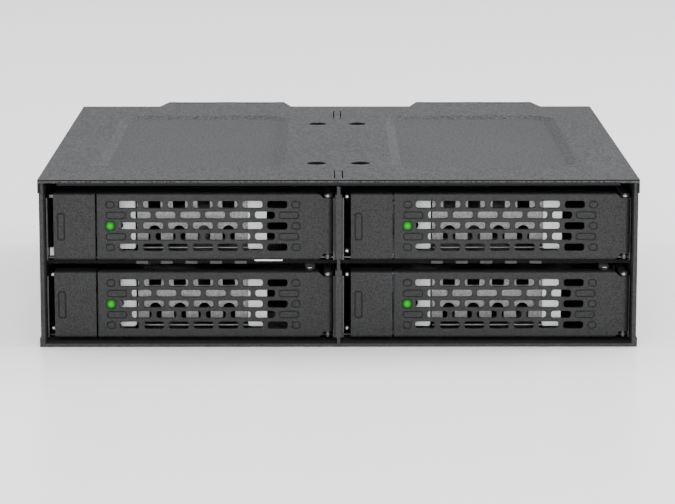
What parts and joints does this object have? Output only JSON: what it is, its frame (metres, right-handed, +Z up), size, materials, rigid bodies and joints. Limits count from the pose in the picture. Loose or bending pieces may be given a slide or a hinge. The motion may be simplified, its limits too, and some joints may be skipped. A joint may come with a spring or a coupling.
{
  "type": "hot swap drive cage",
  "caption": "Half-height 5.25 inch cage with sliding trays for 2.5 inch drives, perforated lever doors, latch buttons, a backplane and rear fans.",
  "frame": {"origin": "centre of the base: middle of the whole depth with the rear fans, on the underside of the bottom cover", "axes": "+Z up, the tray doors face -Y, +X to the right seen from the front"},
  "size_m": [0.146, 0.148, 0.0413],
  "materials": {
    "painted_steel": "powder coated, fine grain",
    "painted_front": "powder coated, satin",
    "plated_steel": "zinc plated",
    "black_screw": "black oxide",
    "circuit_board": "solder mask",
    "black_plastic": "moulded, matt",
    "white_plastic": "moulded, satin",
    "green_lens": "clear green, lit"
  },
  "bodies": {
    "cage": {"top_cover": "painted_steel", "bottom_cover": "painted_steel", "left_wall": "painted_steel", "right_wall": "painted_steel", "centre_divider": "painted_steel", "left_shelf": "painted_steel", "right_shelf": "painted_steel", "cover_screws": "black_screw", "rear_panel": "painted_steel", "backplane_board": "circuit_board", "board_standoffs": "plated_steel", "board_screws": "plated_steel", "drive_sockets": "black_plastic", "data_ports": "black_plastic", "power_ports": "black_plastic", "fan_1_frame": "black_plastic", "fan_2_frame": "black_plastic", "fan_screws": "plated_steel", "fan_switch_body": "black_plastic"},
    "tray_1": {"tray_1_chassis": "plated_steel", "tray_1_front_bracket": "plated_steel", "tray_1_hinge_bracket": "plated_steel", "tray_1_hinge_pin": "plated_steel", "tray_1_button_spring": "plated_steel"},
    "lever_1": {"tray_1_lever": "painted_front", "tray_1_light_lens": "green_lens"},
    "button_1": {"tray_1_button": "painted_front"},
    "tray_2": {"tray_2_chassis": "plated_steel", "tray_2_front_bracket": "plated_steel", "tray_2_hinge_bracket": "plated_steel", "tray_2_hinge_pin": "plated_steel", "tray_2_button_spring": "plated_steel"},
    "lever_2": {"tray_2_lever": "painted_front", "tray_2_light_lens": "green_lens"},
    "button_2": {"tray_2_button": "painted_front"},
    "tray_3": {"tray_3_chassis": "plated_steel", "tray_3_front_bracket": "plated_steel", "tray_3_hinge_bracket": "plated_steel", "tray_3_hinge_pin": "plated_steel", "tray_3_button_spring": "plated_steel"},
    "lever_3": {"tray_3_lever": "painted_front", "tray_3_light_lens": "green_lens"},
    "button_3": {"tray_3_button": "painted_front"},
    "tray_4": {"tray_4_chassis": "plated_steel", "tray_4_front_bracket": "plated_steel", "tray_4_hinge_bracket": "plated_steel", "tray_4_hinge_pin": "plated_steel", "tray_4_button_spring": "plated_steel"},
    "lever_4": {"tray_4_lever": "painted_front", "tray_4_light_lens": "green_lens"},
    "button_4": {"tray_4_button": "painted_front"},
    "fan_1": {"fan_1_rotor": "black_plastic"},
    "fan_2": {"fan_2_rotor": "black_plastic"},
    "fan_switch": {"fan_switch_knob": "white_plastic"}
  },
  "joints": [
    {"name": "tray_1_slide", "type": "slide", "parent": "cage", "child": "tray_1", "axis": [0, -1, 0], "range_m": [0, 0.13]},
    {"name": "lever_1_hinge", "type": "hinge", "parent": "tray_1", "child": "lever_1", "pos_m": [-0.0026, -0.0697, 0.02875], "axis": [0, 0, 1], "range_deg": [0, 80]},
    {"name": "button_1_press", "type": "slide", "parent": "tray_1", "child": "button_1", "axis": [-1, 0, 0], "range_m": [0, 0.0015], "stiffness_N_per_m": 300},
    {"name": "tray_2_slide", "type": "slide", "parent": "cage", "child": "tray_2", "axis": [0, -1, 0], "range_m": [0, 0.13]},
    {"name": "lever_2_hinge", "type": "hinge", "parent": "tray_2", "child": "lever_2", "pos_m": [0.0699, -0.0697, 0.02875], "axis": [0, 0, 1], "range_deg": [0, 80]},
    {"name": "button_2_press", "type": "slide", "parent": "tray_2", "child": "button_2", "axis": [-1, 0, 0], "range_m": [0, 0.0015], "stiffness_N_per_m": 300},
    {"name": "tray_3_slide", "type": "slide", "parent": "cage", "child": "tray_3", "axis": [0, -1, 0], "range_m": [0, 0.13]},
    {"name": "lever_3_hinge", "type": "hinge", "parent": "tray_3", "child": "lever_3", "pos_m": [-0.0026, -0.0697, 0.00935], "axis": [0, 0, 1], "range_deg": [0, 80]},
    {"name": "button_3_press", "type": "slide", "parent": "tray_3", "child": "button_3", "axis": [-1, 0, 0], "range_m": [0, 0.0015], "stiffness_N_per_m": 300},
    {"name": "tray_4_slide", "type": "slide", "parent": "cage", "child": "tray_4", "axis": [0, -1, 0], "range_m": [0, 0.13]},
    {"name": "lever_4_hinge", "type": "hinge", "parent": "tray_4", "child": "lever_4", "pos_m": [0.0699, -0.0697, 0.00935], "axis": [0, 0, 1], "range_deg": [0, 80]},
    {"name": "button_4_press", "type": "slide", "parent": "tray_4", "child": "button_4", "axis": [-1, 0, 0], "range_m": [0, 0.0015], "stiffness_N_per_m": 300},
    {"name": "fan_1_spin", "type": "hinge", "parent": "cage", "child": "fan_1", "pos_m": [-0.0321, 0.069, 0.0204], "axis": [0, 1, 0], "continuous": true},
    {"name": "fan_2_spin", "type": "hinge", "parent": "cage", "child": "fan_2", "pos_m": [0.0398, 0.069, 0.0204], "axis": [0, 1, 0], "continuous": true},
    {"name": "fan_switch_slide", "type": "slide", "parent": "cage", "child": "fan_switch", "axis": [0, 0, 1], "range_m": [0, 0.003]}
  ]
}
